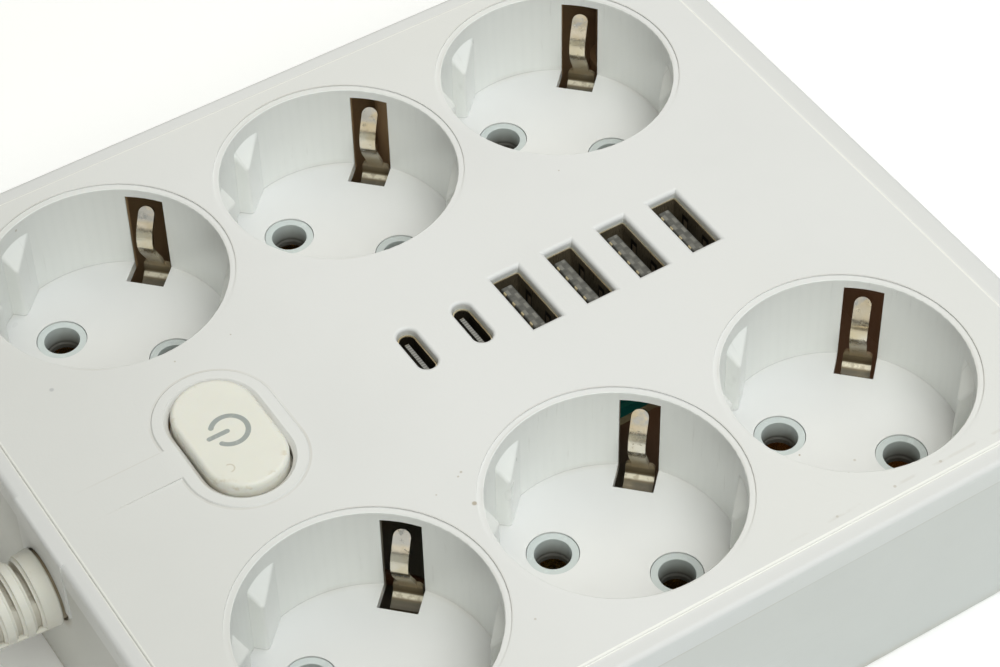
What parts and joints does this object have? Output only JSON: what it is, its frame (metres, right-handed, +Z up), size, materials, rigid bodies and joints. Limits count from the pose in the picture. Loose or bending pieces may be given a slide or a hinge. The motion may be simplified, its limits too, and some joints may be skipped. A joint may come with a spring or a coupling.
{
  "type": "extension lead",
  "caption": "White block-shaped extension lead with earthed sockets, a push switch, USB ports, a ribbed strain relief and a coiled cord with its angled plug.",
  "frame": {"origin": "middle of the housing underside, on the surface it stands on", "axes": "+X along the housing away from the cord, +Y towards the rear socket row, +Z up"},
  "size_m": [0.34, 0.1336, 0.051],
  "materials": {
    "housing_white": "satin",
    "button_ivory": "satin",
    "black_plastic": "satin",
    "grey_plastic": "satin",
    "port_plastic": "satin",
    "port_steel": "polished",
    "brass": "satin",
    "plated_brass": "polished",
    "steel": "satin",
    "board_green": "gloss",
    "coil_yellow": "satin",
    "cord_white": "satin",
    "plug_white": "satin",
    "tie_black": "satin",
    "wire_brown": "satin",
    "wire_blue": "satin",
    "wire_green": "satin"
  },
  "bodies": {
    "housing": {"base_tray": "housing_white", "board_screws": "steel", "clamp_screws": "steel", "contact_carrier_front": "grey_plastic", "contact_carrier_rear": "grey_plastic", "cord": "cord_white", "cord_boot": "cord_white", "cord_clamp": "grey_plastic", "cord_coil": "cord_white", "cord_tail": "cord_white", "cord_tie": "tie_black", "earth_strip_front": "plated_brass", "earth_strip_rear": "plated_brass", "housing_screws": "steel", "live_strip_front": "brass", "live_strip_rear": "brass", "neutral_strip_front": "brass", "neutral_strip_rear": "brass", "plug_body": "plug_white", "plug_earth_contact": "plated_brass", "plug_pin_1": "plated_brass", "plug_pin_2": "plated_brass", "switch_body": "black_plastic", "switch_terminals": "brass", "top_cover": "housing_white", "usb_a_shell_1": "port_steel", "usb_a_shell_2": "port_steel", "usb_a_shell_3": "port_steel", "usb_a_shell_4": "port_steel", "usb_a_tongue_1": "port_plastic", "usb_a_tongue_2": "port_plastic", "usb_a_tongue_3": "port_plastic", "usb_a_tongue_4": "port_plastic", "usb_board": "board_green", "usb_c_shell_1": "port_steel", "usb_c_shell_2": "port_steel", "usb_c_tongue_1": "port_plastic", "usb_c_tongue_2": "port_plastic", "usb_capacitor_1": "black_plastic", "usb_capacitor_2": "black_plastic", "usb_transformer": "coil_yellow", "wire_earth_in": "wire_green", "wire_earth_link": "wire_green", "wire_live_front": "wire_brown", "wire_live_in": "wire_brown", "wire_live_rear": "wire_brown", "wire_neutral_front": "wire_blue", "wire_neutral_in": "wire_blue", "wire_neutral_rear": "wire_blue"},
    "button": {"power_button": "button_ivory", "switch_plunger": "black_plastic"}
  },
  "joints": [
    {"name": "button_press", "type": "slide", "parent": "housing", "child": "button", "axis": [0, 0, 1], "range_m": [-0.0015, 0], "stiffness_N_per_m": 1300, "springref_m": 0.0005}
  ]
}
